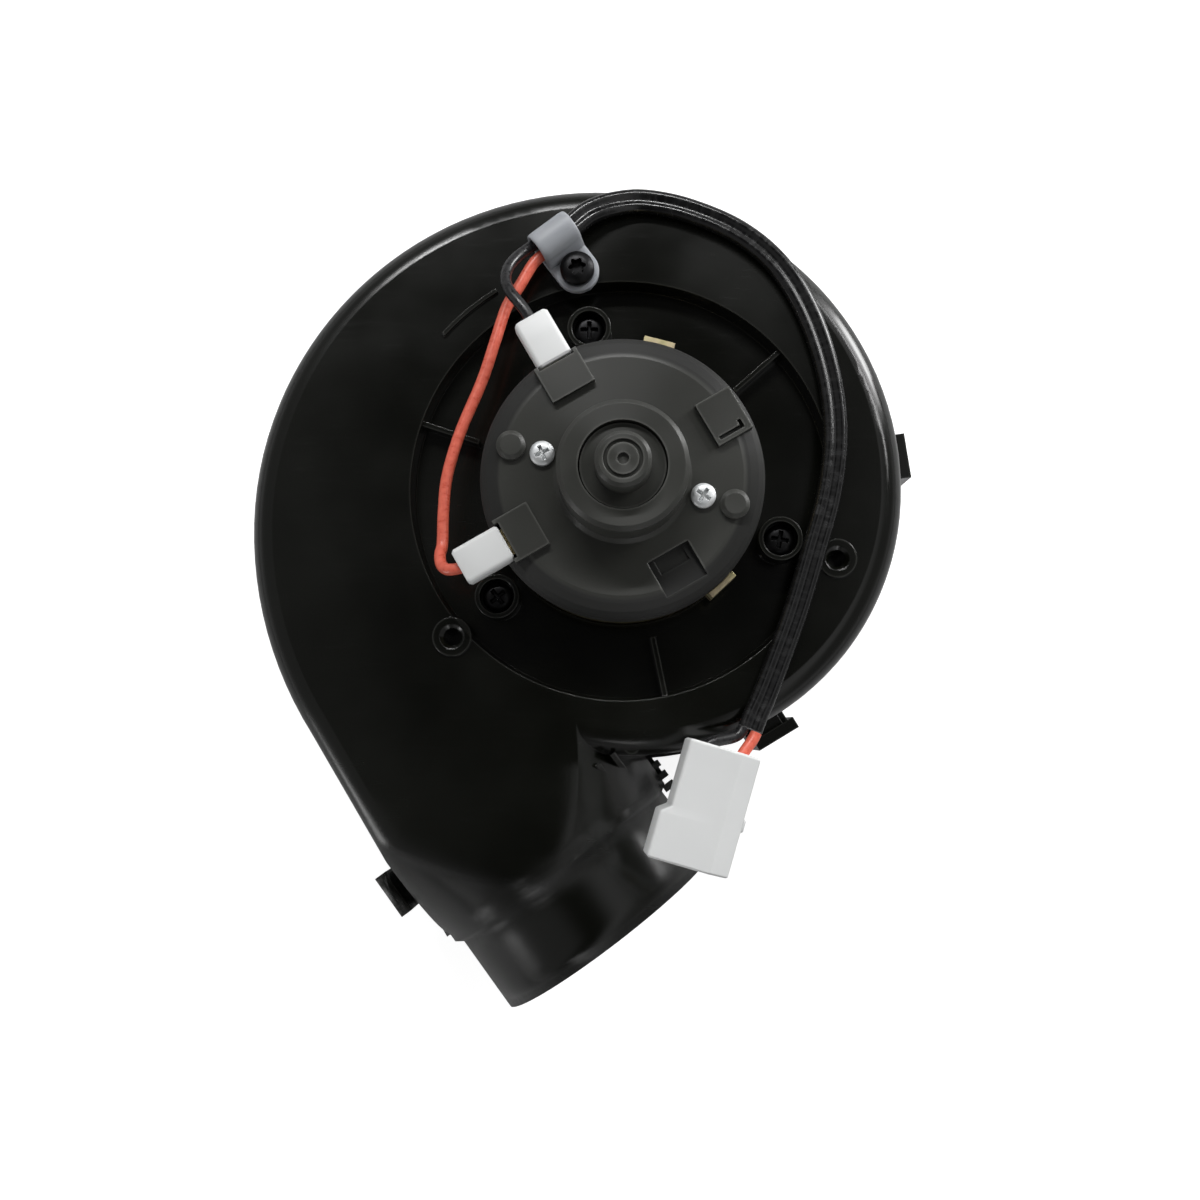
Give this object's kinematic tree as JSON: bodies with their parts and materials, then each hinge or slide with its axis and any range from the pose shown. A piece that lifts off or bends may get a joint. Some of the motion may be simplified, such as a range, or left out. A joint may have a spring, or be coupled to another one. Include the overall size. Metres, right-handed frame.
{
  "type": "blower motor",
  "caption": "Centrifugal snail blower: glossy black split scroll housing with a round hose spigot, brushed DC motor set in its rear face, squirrel-cage wheel, clipped cable and plug.",
  "frame": {"origin": "motor axis at the inlet face, on which the blower rests", "axes": "+Z along the motor axis from the inlet to the motor, +Y away from the outlet, +X to the right seen from the motor"},
  "size_m": [0.1569, 0.1987, 0.097],
  "materials": {
    "housing_black": "glossy moulded black plastic",
    "cap_black": "satin moulded black plastic",
    "wheel_black": "satin glass-filled black plastic",
    "yellow_zinc": "yellow passivated zinc on steel",
    "steel": "ground or pressed steel",
    "zinc_screw": "bright zinc plated steel",
    "black_screw": "black coated steel",
    "white_nylon": "white moulded nylon",
    "natural_nylon": "translucent natural nylon",
    "red_wire": "red wire insulation",
    "black_wire": "black sleeve and wire insulation",
    "copper": "enamelled copper wire and copper bars",
    "tinned_brass": "stamped brass",
    "bronze": "sintered oil-filled bronze",
    "carbon": "carbon brush stock",
    "ferrite": "sintered ferrite"
  },
  "bodies": {
    "housing": {"rear_housing": "housing_black", "front_housing": "housing_black", "motor_can": "yellow_zinc", "motor_flange": "yellow_zinc", "magnets": "ferrite", "front_bearing": "bronze", "end_cap": "cap_black", "rear_bearing": "bronze", "bearing_cap": "cap_black", "brush_holders": "tinned_brass", "brushes": "carbon", "brush_springs": "steel", "spade_terminals": "tinned_brass", "receptacles": "tinned_brass", "terminal_sleeves": "white_nylon", "cap_screws": "zinc_screw", "cap_plugs": "cap_black", "motor_screws": "black_screw", "p_clip": "natural_nylon", "p_clip_screw": "black_screw", "red_lead": "red_wire", "black_lead": "black_wire", "cable": "black_wire", "red_tail": "red_wire", "black_tail": "black_wire", "plug_housing": "white_nylon", "plug_contacts": "tinned_brass"},
    "rotor": {"shaft": "steel", "armature_core": "steel", "windings": "copper", "commutator": "copper", "thrust_washers": "tinned_brass", "fan_wheel": "wheel_black", "blade_ring": "wheel_black", "wheel_clip": "steel"}
  },
  "joints": [
    {"name": "rotor_spin", "type": "hinge", "parent": "housing", "child": "rotor", "pos_m": [0, 0, 0.03], "axis": [0, 0, 1], "continuous": true}
  ]
}
